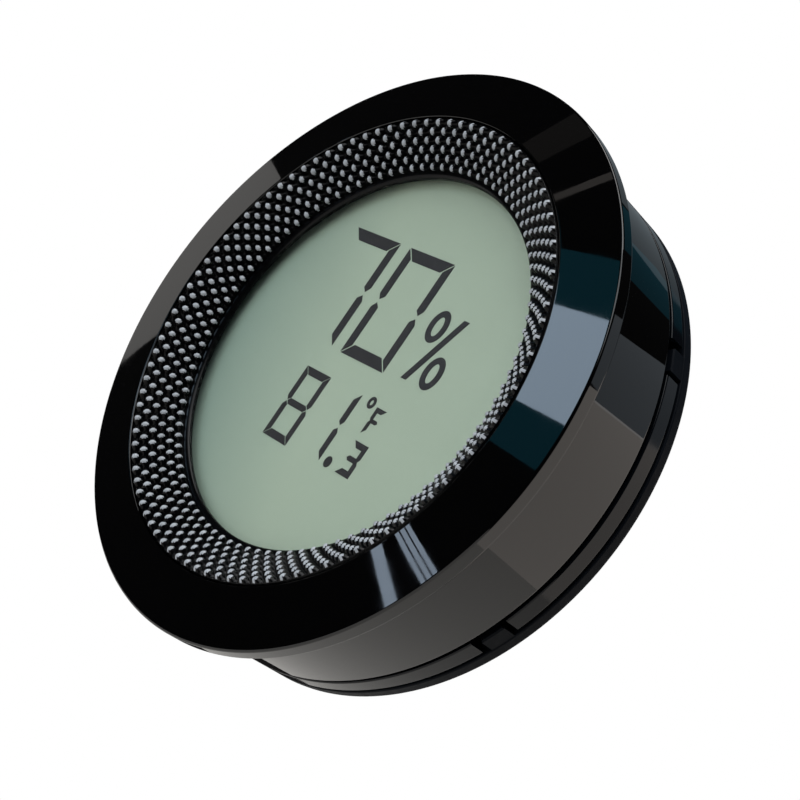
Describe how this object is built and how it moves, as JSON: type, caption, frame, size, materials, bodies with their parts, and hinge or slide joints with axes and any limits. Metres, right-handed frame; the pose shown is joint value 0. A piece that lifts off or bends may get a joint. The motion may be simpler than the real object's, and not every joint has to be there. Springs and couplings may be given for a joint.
{
  "type": "digital panel hygrometer",
  "caption": "Round panel-mounted hygrometer with a black bezel, a knurled ring, a liquid crystal dial, a rear cover with vent slots, a twist-off battery door and a unit button.",
  "frame": {"origin": "on the dial's axis, in the plane of the bezel flange's rear face, where it meets the panel", "axes": "+Y along the dial's axis, from the dial towards the rear cover; +Z towards the top of the dial's figures; +X to the reader's right"},
  "size_m": [0.045, 0.0124, 0.045],
  "materials": {
    "gloss_black_plastic": "gloss",
    "knurled_black_plastic": "diamond knurl, gloss",
    "cover_black_plastic": "fine satin",
    "door_black_plastic": "fine satin",
    "button_grey_plastic": "satin",
    "clear_acrylic": "clear, polished",
    "polariser_film": "satin film",
    "display_glass": "clear, polished",
    "reflector_film": "satin film",
    "white_plastic": "satin",
    "contact_rubber": "matt, layered",
    "green_board": "solder mask",
    "zinc_plated_steel": "plated",
    "pale_ceramic": "matt",
    "black_epoxy": "satin",
    "nickel_plate": "bright plate"
  },
  "bodies": {
    "case": {"bezel": "gloss_black_plastic", "barrel": "gloss_black_plastic", "knurled_ring": "knurled_black_plastic", "window": "clear_acrylic", "display_front_polariser": "polariser_film", "display_front_glass": "display_glass", "display_rear_glass": "display_glass", "display_reflector": "reflector_film", "display_holder": "white_plastic", "upper_contact_strip": "contact_rubber", "lower_contact_strip": "contact_rubber", "main_board": "green_board", "board_screw_1": "zinc_plated_steel", "board_screw_2": "zinc_plated_steel", "board_screw_3": "zinc_plated_steel", "humidity_sensor": "pale_ceramic", "chip_blob": "black_epoxy", "clock_crystal": "zinc_plated_steel", "temperature_sensor": "black_epoxy", "bias_resistor": "pale_ceramic", "drive_capacitor": "pale_ceramic", "sensor_capacitor": "pale_ceramic", "coin_cell": "nickel_plate", "cell_holder": "white_plastic", "positive_contact": "nickel_plate", "negative_contact": "nickel_plate", "switch_body": "black_epoxy", "case_ring": "gloss_black_plastic", "case_screw_1": "zinc_plated_steel", "case_screw_2": "zinc_plated_steel", "case_screw_3": "zinc_plated_steel", "rear_cover": "cover_black_plastic"},
    "battery_door": {"battery_door": "door_black_plastic"},
    "unit_button": {"unit_button": "button_grey_plastic"},
    "switch_plunger": {"switch_plunger": "white_plastic"}
  },
  "joints": [
    {"name": "battery_door_twist", "type": "hinge", "parent": "case", "child": "battery_door", "pos_m": [0, 0.0105, -0.0044], "axis": [0, 1, 0], "range_deg": [0, 50]},
    {"name": "unit_button_press", "type": "slide", "parent": "case", "child": "unit_button", "axis": [0, -1, 0], "range_m": [0, 0.0003], "stiffness_N_per_m": 100},
    {"name": "switch_plunger_press", "type": "slide", "parent": "case", "child": "switch_plunger", "axis": [0, -1, 0], "range_m": [0, 0.0004]}
  ],
  "couplings": [
    {"joint": "switch_plunger_press", "follows": "unit_button_press", "ratio": 1}
  ]
}
